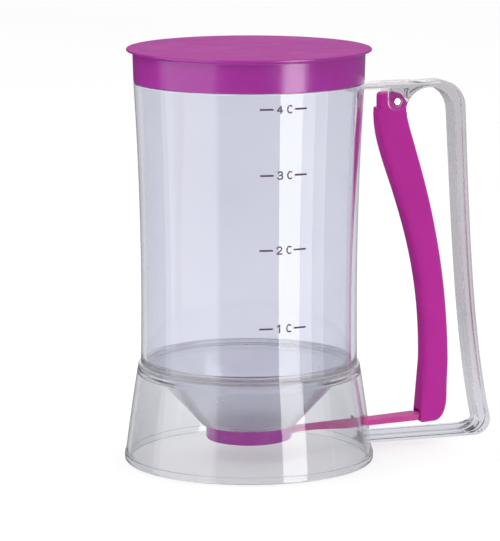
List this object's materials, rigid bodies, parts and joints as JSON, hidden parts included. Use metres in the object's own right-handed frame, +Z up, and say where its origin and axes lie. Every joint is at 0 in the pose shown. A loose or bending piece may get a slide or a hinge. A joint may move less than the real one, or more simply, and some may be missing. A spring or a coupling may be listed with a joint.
{
  "type": "batter dispenser",
  "caption": "Clear batter dispenser: measuring cup with push-on lid, funnel floor, flared base skirt and side handle, and a hinged trigger that slides a gate off the outlet.",
  "frame": {"origin": "centre of the base ring's flat underside, on the table", "axes": "+Z up along the cup's axis, handle and trigger along +X, graduated side of the cup towards -Y"},
  "size_m": [0.1781, 0.1162, 0.1924],
  "materials": {
    "clear_body": "clear polished styrene",
    "clear_skirt": "clear polished styrene",
    "clear_handle": "clear polished styrene",
    "purple_lid": "satin-gloss moulded polypropylene",
    "purple_trigger": "satin-gloss moulded polypropylene",
    "purple_cap": "satin-gloss moulded polypropylene",
    "pink_gate": "satin-gloss moulded polypropylene",
    "silicone": "translucent silicone",
    "steel": "drawn stainless wire and rod"
  },
  "bodies": {
    "pitcher": {"cup": "clear_body", "base_skirt": "clear_skirt", "handle": "clear_handle", "valve_cap": "purple_cap", "seal_ring": "silicone", "pivot_pin": "steel", "return_spring": "steel"},
    "lid": {"lid": "purple_lid"},
    "trigger": {"trigger": "purple_trigger"},
    "gate": {"gate": "pink_gate"}
  },
  "joints": [
    {"name": "lid_lift", "type": "slide", "parent": "pitcher", "child": "lid", "axis": [0, 0, 1], "range_m": [0, 0.05]},
    {"name": "trigger_hinge", "type": "hinge", "parent": "pitcher", "child": "trigger", "pos_m": [0.0712, 0, 0.1653], "axis": [0, -1, 0], "range_deg": [-4.4, 0], "stiffness_Nm_per_rad": 0.5, "springref_deg": -22.92},
    {"name": "gate_slide", "type": "slide", "parent": "pitcher", "child": "gate", "axis": [1, 0, 0], "range_m": [-0.0118, 0]}
  ],
  "couplings": [
    {"joint": "gate_slide", "follows": "trigger_hinge", "m_per_rad": 0.1507}
  ]
}
